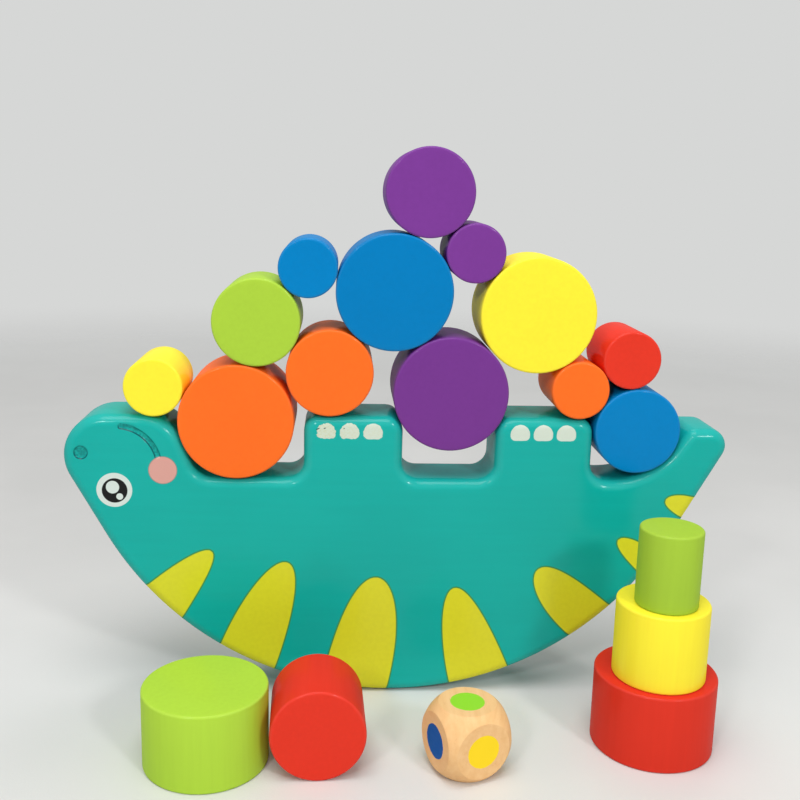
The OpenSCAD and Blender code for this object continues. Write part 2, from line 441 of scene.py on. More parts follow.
@dataclass(frozen=True)
class SatinPaint:
    """Matt paint sprayed on sanded wood, under a thin lacquer.

    The colour drifts a little in cloudy patches. Fine grain, drawn out along the wood's fibres, shows as
    a faint bump and as a change of gloss, and the lacquer has a faint orange peel. On rounded edges,
    where a point's edge value is 1, the coat is paler in noisy patches: partly worn thin, partly a painted
    highlight.
    """

    roughness: Pair = (0.45, 0.56)
    roughness_span: Pair = (0.3, 0.7)
    body_gloss: float = 0.0
    lacquer: float = 0.19
    lacquer_roughness: float = 0.15
    cloud_scale: float = 22.0
    cloud_share: float = 0.6
    patch_span: Pair = (0.35, 0.65)
    drift: float = 0.03
    wear_and_highlight_scale: float = 160.0
    wear_and_highlight_tint: float = 0.05
    paleness: float = 0.5
    grain_share: float = 0.7
    grain_bump: float = 0.02
    grain_depth: float = 0.0004
    peel_scale: float = 1200.0
    peel_bump: float = 0.12
    peel_depth: float = 0.0003

    def coat(self, graph: Graph, color: Rgb, fibres: Triple) -> Socket:
        """Drifting colour of the coat, before anything is printed on it; its gloss and bump are set as well.

        Args:
            graph: The material's graph.
            color: The paint as linear light.
            fibres: Scale of the grain along each axis, smallest along the fibres.

        Returns:
            The colour's socket.
        """
        grain, peel = graph.noise(fibres, detail=4.0), graph.noise(self.peel_scale, detail=2.0)
        graph.bump(graph.weigh(grain, peel, self.grain_share), self.grain_bump, self.grain_depth)
        graph.bump(peel, self.peel_bump, self.peel_depth, "Coat Normal")
        graph.put("Roughness", graph.spread(grain, *self.roughness_span, *self.roughness))
        graph.put("Specular IOR Level", self.body_gloss)
        graph.put("Coat Weight", self.lacquer)
        graph.put("Coat Roughness", self.lacquer_roughness)
        clouds = graph.weigh(graph.noise(self.cloud_scale, detail=3.0), grain, self.cloud_share)
        patches = graph.spread(clouds, *self.patch_span, 0.0, 1.0)
        drifted = graph.drift(patches, color, 1 - self.drift, 1 + self.drift)
        pale = tuple(c + (1 - c) * self.paleness for c in color)
        # Paler rounded edges: partly wear, partly a painted highlight along the middle of each round-over.
        worn = graph.times(graph.value("edge"), graph.noise(self.wear_and_highlight_scale, detail=3.0))
        return graph.mix(graph.times(worn, self.wear_and_highlight_tint), drifted, pale)


@dataclass(frozen=True)
class PrintedInks:
    """Inks printed on the board's faces over its teal coat, and its engraving painted darker: a mottled
    floor, and painted shade on its walls.
    """

    stripe: Rgb = linear((218, 216, 45))
    stripe_edge: Rgb = linear((58, 138, 58))
    cheek: Rgb = linear((216, 160, 150))
    white: Rgb = linear((211, 223, 217))
    black: Rgb = linear((20, 21, 20))
    nail: Rgb = linear((209, 221, 209))
    aged_nail: Rgb = linear((203, 210, 178))
    scratch: Rgb = linear((40, 84, 74))
    cheek_rim: Rgb = linear((150, 118, 112))
    # Dark teal for the groove's darker floor and for the painted shade on its walls.
    engraved: Rgb = linear((0, 82, 86))
    stripe_line: float = 0.28
    stripe_line_share: float = 0.85
    cheek_line: float = 0.16
    cheek_line_share: float = 0.55
    wall_line: float = 0.18
    lit_wall: float = 0.3
    dark_wall: float = 0.95
    wall_turn: float = 0.9
    drift: float = 0.02
    grain: Mottle = Mottle(650.0, 4.0)
    floor_mottle: Mottle = Mottle(1300.0, 2.0, (0.35, 0.65), (0.02, 0.5))
    flake: Mottle = Mottle(900.0, 3.0, (0.35, 0.75), (0.0, 0.5))
    speckle: Mottle = Mottle(1700.0, 2.0, (0.3, 0.75), (0.2, 1.0))

    def print_on(self, graph: Graph, coat: Socket) -> Socket:
        """Lays each print over the coat by the signed distances that the board's points carry.

        Args:
            graph: The board's material graph.
            coat: Colour of the coat.

        Returns:
            Colour of the printed face.
        """
        stripe, groove = graph.value("stripe"), graph.value("groove")
        ink = graph.drift(graph.mottle(self.grain), self.stripe, 1 - self.drift, 1 + self.drift)
        color = graph.mix(graph.inside(stripe), coat, ink)
        rim = graph.line(graph.math("SUBTRACT", stripe, self.stripe_line / 2), self.stripe_line)
        color = graph.mix(graph.times(rim, self.stripe_line_share), color, self.stripe_edge)
        # The groove's floor is painted darker in mottled patches.
        darker_floor = graph.times(graph.inside(groove), graph.mottle(self.floor_mottle))
        color = graph.mix(darker_floor, color, self.engraved)
        # Painted shade on the groove's walls: darkest along its lower edge, lightest along its upper edge.
        wall = graph.line(graph.math("ADD", groove, self.wall_line), self.wall_line)
        facing = graph.value("groove_facing")
        painted_wall_shade = graph.spread(facing, -self.wall_turn, self.wall_turn, self.dark_wall, self.lit_wall)
        color = graph.mix(graph.times(wall, painted_wall_shade), color, self.engraved)
        discs = (("cheek", self.cheek), ("eye", self.white), ("pupil", self.black), ("glint", self.white))
        for name, tint in discs:
            color = graph.mix(graph.inside(graph.value(name)), color, tint)
        rim = graph.line(graph.value("cheek"), self.cheek_line)
        color = graph.mix(graph.times(rim, self.cheek_line_share), color, self.cheek_rim)
        wear = graph.value("nail_wear")
        chipped = graph.math("ADD", graph.value("nail"), graph.times(graph.mottle(self.flake), wear))
        nail = graph.mix(graph.times(graph.mottle(self.speckle), wear), self.nail, self.aged_nail)
        color = graph.mix(graph.inside(chipped), color, nail)
        return graph.mix(graph.inside(graph.value("scratch")), color, self.scratch)


@dataclass(frozen=True)
class BareBeech:
    """Sanded beech: pale tan with long streaks along Y, short dark flecks and a soft sheen."""

    pale: Rgb = linear((243, 199, 143))
    tan: Rgb = linear((236, 187, 129))
    fleck: Rgb = linear((212, 158, 104))
    gloss: float = 0.08
    roughness: Pair = (0.46, 0.58)
    streak_bump: float = 0.03
    streak_depth: float = 0.0003
    streaks: Mottle = Mottle((520.0, 30.0, 380.0), 5.0, (0.25, 0.75))
    flecks: Mottle = Mottle((2200.0, 300.0, 2200.0), 2.0, (0.6, 0.78), (0.0, 0.35))

    def wood(self, graph: Graph) -> Socket:
        """Colour of the bare wood; its gloss and bump are set as well.

        Args:
            graph: The die's material graph.

        Returns:
            The colour's socket.
        """
        streaks = graph.mottle(self.streaks)
        graph.bump(streaks, self.streak_bump, self.streak_depth)
        graph.put("Roughness", graph.spread(streaks, 0.0, 1.0, *self.roughness))
        graph.put("Specular IOR Level", self.gloss)
        color = graph.mix(streaks, self.tan, self.pale)
        return graph.mix(graph.mottle(self.flecks), color, self.fleck)


@dataclass(frozen=True)
class Corner:
    """A corner of the board's outline and the radius that rounds it."""

    x: float
    z: float
    radius: float

    @property
    def point(self) -> np.ndarray:
        """The corner's place in the plane."""
        return np.array([self.x, self.z])


@dataclass(frozen=True)
class Disc:
    """A round print on the board's faces."""

    centre: Point
    radius: float

    def distance(self, points: np.ndarray) -> np.ndarray:
        """Signed distance from plane points: that to the centre less the radius."""
        return np.hypot(*(points - np.asarray(self.centre)).T) - self.radius


@dataclass(frozen=True)
class Stripe:
    """A tongue-shaped stripe that rises from the board's round back.

    Half its width at a share s of its length below the tip is half_width times sqrt(1 - (1 - s)^fullness),
    and its middle line bows sideways by bend times 4s(1 - s).
    """

    foot_angle: float
    tip: Point
    half_width: float
    fullness: float
    bend: float
    steps: int = 60

    def loop(self, centre: Point, reach: float) -> np.ndarray:
        """Closed loop around the stripe.

        Args:
            centre: Middle of the round back.
            reach: Distance of the foot from that middle, just outside the board.

        Returns:
            The loop's points, up the left side and down the right one.
        """
        turn = math.radians(self.foot_angle)
        foot = np.array([centre[0] + reach * math.sin(turn), centre[1] - reach * math.cos(turn)])
        axis = np.asarray(self.tip) - foot
        across = unit(np.array([axis[1], -axis[0]]))
        share = np.linspace(0, 1, self.steps)[:, None] ** 2
        half = self.half_width * np.sqrt(1 - (1 - share) ** self.fullness)
        middle = np.asarray(self.tip) - share * axis + self.bend * 4 * share * (1 - share) * across
        return np.concatenate([(middle - half * across)[::-1], (middle + half * across)[1:]])


@dataclass(frozen=True)
class Engraving:
    """A shape sunk a little way into the board's faces, with a flat bottom and steep walls."""

    centre: Point
    depth: float = 0.6
    wall: float = 0.45
    lip: float = 0.05

    def distance(self, points: np.ndarray) -> np.ndarray:
        """Signed distance from plane points to the shape's edge, below zero inside it."""
        raise NotImplementedError

    def rows(self) -> np.ndarray:
        """Points that follow the shape's walls, for the face's mesh."""
        raise NotImplementedError

    def sink(self, points: np.ndarray) -> np.ndarray:
        """Depth of the shape at plane points: full on its bottom, easing out over its walls."""
        return self.depth * (1 - smooth_step(-self.wall, self.lip, self.distance(points)))

    def facing(self, points: np.ndarray, step: float = 0.05) -> np.ndarray:
        """Upward part of the way out of the shape at plane points, from 1 at its top to -1 at its bottom."""
        rise = np.array([0.0, step])
        return (self.distance(points + rise) - self.distance(points - rise)) / (2 * step)


@dataclass(frozen=True)
class ArcLine(Engraving):
    """A line of even width along an arc, with round ends."""

    radius: float = 14.5
    start: float = 10.0
    end: float = 84.0
    width: float = 2.2
    skirt: Pair = (0.25, 0.7)
    spare: float = 0.6
    spacing: float = 0.35

    def distance(self, points: np.ndarray) -> np.ndarray:
        """Distance to the nearest point of the arc, or of its ends, less half the width.

        Args:
            points: Plane points, one row each.

        Returns:
            One signed distance for each point.
        """
        away = points - np.asarray(self.centre)
        middle, half = math.radians(self.start + self.end) / 2, math.radians(self.end - self.start) / 2
        turn = np.arctan2(away[:, 1], away[:, 0]) - middle
        turn = np.clip((turn + np.pi) % (2 * np.pi) - np.pi, -half, half) + middle
        return np.hypot(*(away - self.radius * spokes(turn)).T) - self.width / 2

    def rows(self) -> np.ndarray:
        """Rows along the arc at steps across it, closest together on the walls.

        Returns:
            The points, one row each.
        """
        edge = self.width / 2
        beyond = edge + np.array(self.skirt)
        across = np.array([0, edge - self.wall, edge - self.wall / 2, edge, *beyond])
        reach = self.radius + np.concatenate([-across[:0:-1], across])
        spare = (edge + self.spare) / self.radius
        first, last = math.radians(self.start) - spare, math.radians(self.end) + spare
        turn = np.linspace(first, last, math.ceil((last - first) * self.radius / self.spacing))
        grid = reach[:, None] * spokes(turn)[:, None]
        return np.asarray(self.centre) + grid.reshape(-1, 2)


@dataclass(frozen=True)
class Dish(Engraving):
    """A round pit."""

    radius: float = 2.5
    core: Pair = (0.1, 0.8)
    floor_share: float = 0.75
    skirt: Pair = (0.3, 0.8)
    around: int = 56

    def distance(self, points: np.ndarray) -> np.ndarray:
        """Signed distance to the pit's round edge."""
        return Disc(self.centre, self.radius).distance(points)

    def rows(self) -> np.ndarray:
        """Rings about the pit's middle, closest together on the wall.

        Returns:
            The points, one row each.
        """
        floor, beyond = self.radius - self.wall, self.radius + np.array(self.skirt)
        steps = [*self.core, floor * self.floor_share, floor, floor + self.wall / 2, self.radius, *beyond]
        grid = np.array(steps)[:, None, None] * spokes(full_turn(self.around))
        return np.asarray(self.centre) + grid.reshape(-1, 2)


@dataclass
class DinoBoard:
    """The rocking board: a dinosaur on its back, with pockets between its neck, legs and tail."""

    node: str = "dino_board"
    belly_r: float = 116.0
    skin_drop: float = 0.1
    thickness: float = 25.0
    edge_r: float = 3.5
    edge_steps: int = 8
    arc_steps: int = 8
    nose_slope: float = 61.0
    tail_slope: float = 61.5
    head_top: float = 103.7
    nose_r: float = 15.0
    chin_r: float = 15.0
    neck_lean: float = 23.0
    leg_top: float = 104.0
    leg_w: float = 34.8
    leg_r: float = 5.5
    leg_gap: float = 32.8
    leg_mid: float = 19.6
    pocket_z: float = 81.3
    pocket_r: float = 6.0
    neck_floor: float = 37.1
    neck_r: float = 8.0
    tail_top: float = 100.6
    tail_rise: float = 55.0
    tail_floor: float = 21.7
    tail_seat_r: float = 28.0
    tip_r: float = 6.2
    tip_inner_r: float = 4.2
    eye: Disc = Disc((-97.5, 77.0), 6.2)
    pupil: Disc = Disc((-97.4, 76.8), 4.45)
    glints: tuple[Disc, Disc] = (Disc((-98.1, 78.0), 2.3), Disc((-95.7, 74.6), 1.2))
    cheek: Disc = Disc((-80.6, 84.3), 4.9)
    cheek_ease: Pair = (-0.1, 0.3)
    nail_w: float = 6.9
    nail_h: float = 5.8
    nail_pitch: float = 8.2
    nail_drop: float = 4.9
    nail_corner_r: float = 1.7
    nail_shift: Pair = (-1.4, -0.7)
    nail_wear: tuple[Triple, Triple] = ((1.0, 0.7, 0.45), (0.15, 0.15, 0.15))
    scratch_w: float = 0.36
    scratch_gap: float = 0.22
    scratch_steps: int = 4
    scratches: tuple[tuple[int, Point, Point], ...] = (
        (0, (-3.3, 0.45), (-2.4, 0.9)),
        (0, (-0.7, 0.85), (0.2, 1.1)),
        (1, (-2.0, 0.9), (-1.3, 1.45)),
    )
    ink_wrap: float = 2.6
    lacquer: float = 0.36
    fibres: Triple = (30.0, 500.0, 500.0)
    stripe_overhang: float = 2.0
    coarse: float = 1.4
    fine: float = 0.55
    edge_clear: float = 0.44
    groove_clear: float = 1.0
    foot_window: float = 0.8
    face_low: Point = (-112.5, 69.0)
    face_high: Point = (-74.0, 101.0)
    weld: float = 1e-6
    stripes: tuple[Stripe, ...] = (
        Stripe(-45.0, (-63.9, 54.6), 9.26, 1.04, -0.2),
        Stripe(-26.6, (-37.0, 50.5), 10.9, 1.92, -0.3),
        Stripe(-6.6, (-4.6, 44.9), 12.1, 2.6, 0.5),
        Stripe(17.0, (23.0, 41.0), 11.4, 1.48, -0.3),
        Stripe(40.3, (53.1, 48.1), 9.2, 2.5, -0.7),
        Stripe(54.8, (82.0, 59.8), 4.75, 2.4, 0.35),
        Stripe(67.5, (98.1, 74.8), 4.5, 1.8, 0.26),
    )
    engravings: tuple[Engraving, ...] = (
        ArcLine((-96.3, 85.5), start=14.0),
        Dish((-108.7, 90.4), depth=0.5),
    )

    @property
    def leg_middles(self) -> Pair:
        """Middle of each leg along X."""
        reach = (self.leg_gap + self.leg_w) / 2
        return self.leg_mid - reach, self.leg_mid + reach

    def corners(self) -> list[Corner]:
        """Corners of the outline, counter-clockwise from the back, which is one wide round corner.

        The slopes of nose and tail touch the back's circle, which sets where they meet each other below it
        and where they reach the tops of head and tail.

        Returns:
            The corners in order.
        """
        skin_r = self.belly_r - self.skin_drop
        nose, tail = math.radians(self.nose_slope), math.radians(self.tail_slope)
        first, second = self.leg_middles
        foot, top = (self.pocket_z, self.pocket_r), (self.leg_top, self.leg_r)
        legs = [Corner(middle + side * self.leg_w / 2, *end) for middle in (second, first)
                for side, end in ((1, foot), (1, top), (-1, top), (-1, foot))]
        neck_x = first - self.leg_w / 2 - self.neck_floor
        chin_x = neck_x - (self.head_top - self.pocket_z) * math.tan(math.radians(self.neck_lean))
        seat_x = second + self.leg_w / 2 + self.tail_floor
        tip_x = seat_x + (self.tail_top - self.pocket_z) / math.tan(math.radians(self.tail_rise))
        nose_x = -(skin_r + (self.head_top - self.belly_r) * math.cos(nose)) / math.sin(nose)
        tail_x = (skin_r + (self.tail_top - self.belly_r) * math.cos(tail)) / math.sin(tail)
        keel_x = skin_r * (1 / math.cos(tail) - 1 / math.cos(nose)) / (math.tan(tail) + math.tan(nose))
        keel_z = self.belly_r + (keel_x - skin_r / math.sin(tail)) * math.tan(tail)
        return [
            Corner(keel_x, keel_z, skin_r),
            Corner(tail_x, self.tail_top, self.tip_r),
            Corner(tip_x, self.tail_top, self.tip_inner_r),
            Corner(seat_x, self.pocket_z, self.tail_seat_r),
            *legs,
            Corner(neck_x, self.pocket_z, self.neck_r),
            Corner(chin_x, self.head_top, self.chin_r),
            Corner(nose_x, self.head_top, self.nose_r),
        ]

    def outline(self) -> tuple[np.ndarray, np.ndarray]:
        """Closed outline with rounded corners.

        Each corner's arc has its centre on the corner's bisector, at its radius over the sine of half the
        corner's angle. Straight edges between arcs are cut into even steps.

        Returns:
            The points and the outward normals, one row each.
        """
        corners = self.corners()
        points, normals = [], []
        for before, corner, after in zip(corners[-1:] + corners[:-1], corners, corners[1:] + corners[:1]):
            u, v = unit(before.point - corner.point), unit(after.point - corner.point)
            half = math.acos(float(u @ v)) / 2
            centre = corner.point + unit(u + v) * corner.radius / math.sin(half)
            side = 1.0 if -u[0] * v[1] + u[1] * v[0] > 0 else -1.0
            start = corner.point + u * corner.radius / math.tan(half) - centre
            sweep = math.pi - 2 * half
            steps = max(self.arc_steps, math.ceil(sweep * corner.radius / self.coarse))
            turn = math.atan2(start[1], start[0]) + side * sweep * np.linspace(0, 1, steps + 1)
            points.append(centre + corner.radius * spokes(turn))
            normals.append(side * spokes(turn))
        joined, facing = [], []
        for arc, normal, following in zip(points, normals, points[1:] + points[:1]):
            gap = following[0] - arc[-1]
            count = max(1, math.ceil(np.hypot(*gap) / self.coarse))
            share = np.arange(1, count)[:, None] / count
            joined += [arc, arc[-1] + share * gap]
            facing += [normal, np.repeat(normal[-1:], count - 1, axis=0)]
        return np.concatenate(joined), np.concatenate(facing)

    def nails(self) -> list[tuple[Point, float]]:
        """The toenails of the first leg and of the second, three each.

        Returns:
            Middle of each nail and how worn its print is.
        """
        height = self.leg_top - self.nail_drop
        return [((middle + shift + (i - 1) * self.nail_pitch, height), worn)
                for middle, shift, leg in zip(self.leg_middles, self.nail_shift, self.nail_wear)
                for i, worn in enumerate(leg)]

    def nail_distance(self, points: np.ndarray, centre: Point) -> np.ndarray:
        """Signed distance to a toenail: a round dome over upright sides, on a foot with small round corners.

        It is the larger of the distances to the dome with its sides and to the foot's rounded box.

        Args:
            points: Plane points, one row each.
            centre: Middle of the nail.

        Returns:
            One distance for each point.
        """
        across, up = np.abs(points[:, 0] - centre[0]), points[:, 1] - centre[1]
        wide, tall, small = self.nail_w / 2, self.nail_h / 2, self.nail_corner_r
        dome = np.hypot(across, np.maximum(up - (tall - wide), 0)) - wide
        over_x, over_z = across - wide + small, small - tall - up
        foot = np.hypot(np.maximum(over_x, 0), np.maximum(over_z, 0)) - small
        return np.maximum(dome, foot + np.minimum(np.maximum(over_x, over_z), 0))

    def scratch_lines(self) -> list[tuple[np.ndarray, np.ndarray]]:
        """Start of each scratch and the step to its end, from its nail's middle."""
        nails = self.nails()
        return [(np.add(nails[number][0], first), np.subtract(last, first))
                for number, first, last in self.scratches]

    def scratch_distance(self, points: np.ndarray) -> np.ndarray:
        """Signed distance to the nearest scratch: that to a short line across a nail, less half its width.

        Args:
            points: Plane points, one row each.

        Returns:
            One distance for each point.
        """
        gaps = []
        for start, step in self.scratch_lines():
            share = np.clip((points - start) @ step / (step @ step), 0, 1)
            gaps.append(np.hypot(*(points - start - share[:, None] * step).T))
        return np.min(gaps, axis=0) - self.scratch_w / 2

    def windows(self) -> list[tuple[np.ndarray, np.ndarray]]:
        """Boxes that need a finer mesh: the face, and the nails of each foot about its middle one.

        Returns:
            Low and high corner of each box.
        """
        reach = np.array([self.nail_pitch + self.nail_w, self.nail_h]) * self.foot_window
        feet = [np.asarray(middle) for middle, _ in self.nails()[1::3]]
        face = np.asarray(self.face_low), np.asarray(self.face_high)
        return [face, *((foot - reach, foot + reach) for foot in feet)]

    def face_points(self, edge: np.ndarray) -> np.ndarray:
        """Points inside a flat face: a coarse grid, a finer one in each window, and rows along each groove.

        Args:
            edge: The face's edge loop.

        Returns:
            The points, one row each, all clear of the edge.
        """
        coarse = staggered_grid(edge.min(0), edge.max(0), self.coarse)
        patches = []
        for low, high in self.windows():
            coarse = coarse[~((coarse > low) & (coarse < high)).all(1)]
            patches.append(staggered_grid(low, high, self.fine))
        points = np.concatenate([coarse, *patches])
        for line in self.engravings:
            points = points[line.distance(points) > self.groove_clear]
        points = np.concatenate([points, *(line.rows() for line in self.engravings)])
        points = points[self.scratch_distance(points) > self.scratch_gap]
        share = np.linspace(0, 1, self.scratch_steps)[:, None]
        points = np.concatenate([points, *(start + share * step for start, step in self.scratch_lines())])
        return points[distance_to_loop(points, edge) < -self.edge_clear]

    def face_triangles(self, edge: np.ndarray, inner: np.ndarray) -> np.ndarray:
        """Delaunay mesh of a flat face within its edge.

        Args:
            edge: The face's edge loop.
            inner: The points inside it.

        Returns:
            Three point numbers for each triangle, those of the edge before those of the inner points.
        """
        here = np.arange(len(edge))
        loop = np.stack([here, np.roll(here, -1)], axis=1).tolist()
        flat = np.concatenate([edge, inner]).tolist()
        _, _, triangles, sources, _, _ = delaunay_2d_cdt(flat, loop, [], ONLY_INSIDE, self.weld)
        return np.array([numbers[0] for numbers in sources])[np.array(triangles)]

    def prints(self, plane: np.ndarray, depth: np.ndarray) -> dict[str, np.ndarray]:
        """Signed distances to each print, which the board's material turns into ink.

        Args:
            plane: Every point's x and z.
            depth: How far each point lies below the nearer face.

        Returns:
            One array for each print, in millimetres, below zero inside it, with how worn the nearest nail
            is and which way the nearest groove's wall faces, which sets the painted shade on that wall.
        """
        back = (0.0, self.belly_r), self.belly_r + self.stripe_overhang
        stripes = [distance_to_loop(plane, stripe.loop(*back)) for stripe in self.stripes]
        nails = np.stack([self.nail_distance(plane, middle) for middle, _ in self.nails()])
        grooves = np.stack([line.distance(plane) for line in self.engravings])
        facing = np.stack([line.facing(plane) for line in self.engravings])
        shapes = {
            "stripe": np.min(stripes, axis=0),
            "nail": nails.min(0),
            "scratch": self.scratch_distance(plane),
            "groove": grooves.min(0),
            "cheek": self.cheek.distance(plane),
            "eye": self.eye.distance(plane),
            "pupil": self.pupil.distance(plane),
            "glint": np.minimum(*(glint.distance(plane) for glint in self.glints)),
        }
        values = {name: np.maximum(distance, depth - self.ink_wrap) for name, distance in shapes.items()}
        values["nail_wear"] = np.array([worn for _, worn in self.nails()])[nails.argmin(0)]
        values["groove_facing"] = np.take_along_axis(facing, grooves.argmin(0)[None], 0)[0]
        return values

    def build(self) -> bpy.types.Object:
        """Builds the board: its outline carried through the rounded edges, and two flat engraved faces.

        A ring at angle a of an edge's round-over is set in by edge_r(1 - sin a) and lies edge_r(1 - cos a)
        below the face. Each flat face is a Delaunay mesh of its inner points within the first ring.

        Returns:
            The board's piece.
        """
        outline, normal = self.outline()
        half = self.thickness / 2
        turn = np.linspace(0, np.pi / 2, self.edge_steps + 1)
        inset = mirrored(self.edge_r * (1 - np.sin(turn)))
        level = mirrored(self.edge_r * (1 - np.cos(turn)) - half, -1)
        crest = mirrored(np.sin(2 * turn))
        around, rings = len(outline), len(inset)
        ring_plane = (outline - inset[:, None, None] * normal).reshape(-1, 2)

        inner = self.face_points(ring_plane[:around])
        triangles = self.face_triangles(ring_plane[:around], inner)
        on_edge, last = triangles < around, (rings - 1) * around
        front = np.where(on_edge, triangles, triangles + last)
        back = np.where(on_edge, triangles + last, triangles + last + len(inner))

        plane = np.concatenate([ring_plane, inner, inner])
        y = np.concatenate([np.repeat(level, around), np.repeat([-half, half], len(inner))])
        sink = np.max([line.sink(plane) for line in self.engravings], axis=0)
        sink *= smooth_step(*self.cheek_ease, self.cheek.distance(plane))
        y -= np.sign(y) * np.where(half - np.abs(y) < self.ink_wrap, sink, 0)
        points = np.stack([plane[:, 0], y, plane[:, 1]], axis=1)
        values = self.prints(plane, half - np.abs(y))
        values["edge"] = np.concatenate([np.repeat(crest, around), np.zeros(2 * len(inner))])
        return make_piece("board_painted", points, [ring_quads(rings, around), front, back[:, ::-1]], values)

    def dress(self) -> bpy.types.Material:
        """Teal satin paint with the inks printed over it; the wood's fibres run from nose to tail.

        Returns:
            The board's material.
        """
        graph = Graph("teal_board_paint")
        coat = SatinPaint(lacquer=self.lacquer).coat(graph, Paint.TEAL.linear, self.fibres)
        graph.put("Base Color", PrintedInks().print_on(graph, coat))
        return graph.owner

    def make(self) -> None:
        """Builds the board and mounts it on its body."""
        mount_piece(self.build(), self.dress(), self.node)


@dataclass
class RoundBlock:
    """A turned block: a short dowel with thin rounded rims, painted all over."""

    node: str
    along: Along
    turn: float = 0.0
    # Factor on the block's paint: partly its own tone, partly painted shade.
    paint_and_shade_tone: float = 1.0
    rim_r: float = 0.8
    rim_steps: int = 6
    end_rings: tuple[float, ...] = (0.0, 0.35, 0.7, 0.92)
    around: int = 144
    fibre_along: float = 30.0
    fibre_across: float = 700.0

    @property
    def paint(self) -> Paint:
        """The paint that the node is named for."""
        return Paint[self.node.split("_")[0].upper()]

    def profile(self, radius: float, half: float) -> tuple[np.ndarray, np.ndarray, np.ndarray]:
        """Half section of the block, from the middle of one end to the middle of the other.

        The rim at angle a lies rim_r(1 - sin a) inside the radius and rim_r(1 - cos a) below the end.

        Args:
            radius: The block's radius.
            half: Half its length.

        Returns:
            Distances from the axis, places along it, and how much of a rim each point is.
        """
        turn = np.linspace(0, np.pi / 2, self.rim_steps + 1)
        flat = (radius - self.rim_r) * np.array(self.end_rings)
        reach = np.concatenate([flat, radius - self.rim_r * (1 - np.sin(turn))])
        place = np.concatenate([np.full(len(flat), half), half - self.rim_r * (1 - np.cos(turn))])
        crest = np.concatenate([np.zeros(len(flat)), np.sin(2 * turn)])
        return mirrored(reach), mirrored(place, -1), mirrored(crest)

    def build(self) -> bpy.types.Object:
        """Turns the half section about the block's axis, with one point at the middle of each end.

        The box of a lying block that is turned by t on the table reaches rim_r + (half - rim_r) cos t +
        (radius - rim_r) sin t from its middle, which gives its half length.

        Returns:
            The block's piece, where its CAD node is.
        """
        low, high = (np.array(corner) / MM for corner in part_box(self.node))
        centre, size = (low + high) / 2, high - low
        lies = self.along is Along.Y
        radius = size[2 if lies else 0] / 2
        spin = turn_about_z(self.turn)
        cos, sin = spin[0, 0], abs(spin[1, 0])
        half = (size[self.along.value] / 2 - self.rim_r - (radius - self.rim_r) * sin) / cos + self.rim_r
        reach, place, crest = self.profile(radius, half)
        rings = len(reach) - 2
        wall = rings_about_z(reach[1:-1, None], place[1:-1, None], self.around)
        local = np.concatenate([wall, [[0, 0, place[0]], [0, 0, place[-1]]]])
        axes = np.array([[1, 0, 0], [0, 0, -1], [0, 1, 0]] if lies else np.eye(3))
        points = centre + local @ (spin @ axes).T
        first_end = fan(0, self.around, len(wall))
        last_end = fan((rings - 1) * self.around, self.around, len(wall) + 1)[:, ::-1]
        values = {"edge": np.concatenate([np.repeat(crest[1:-1], self.around), [0.0, 0.0]])}
        faces = [ring_quads(rings, self.around), first_end, last_end]
        return make_piece(self.node + "_painted", points, faces, values)

    def dress(self) -> bpy.types.Material:
        """Satin paint in the block's colour; the wood's fibres run along its axis.

        Returns:
            The block's material.
        """
        graph = Graph(self.node + "_paint")
        fibres = [self.fibre_across] * 3
        fibres[self.along.value] = self.fibre_along
        color = shade(self.paint.linear, self.paint_and_shade_tone)
        graph.put("Base Color", SatinPaint().coat(graph, color, tuple(fibres)))
        return graph.owner

    def make(self) -> None:
        """Builds the block and mounts it on its body."""
        mount_piece(self.build(), self.dress(), self.node)


@dataclass(frozen=True)
class DieDot:
    """A dot of ink on the die's side that faces one way along an axis."""

    axis: int
    sign: int
    ink: Rgb


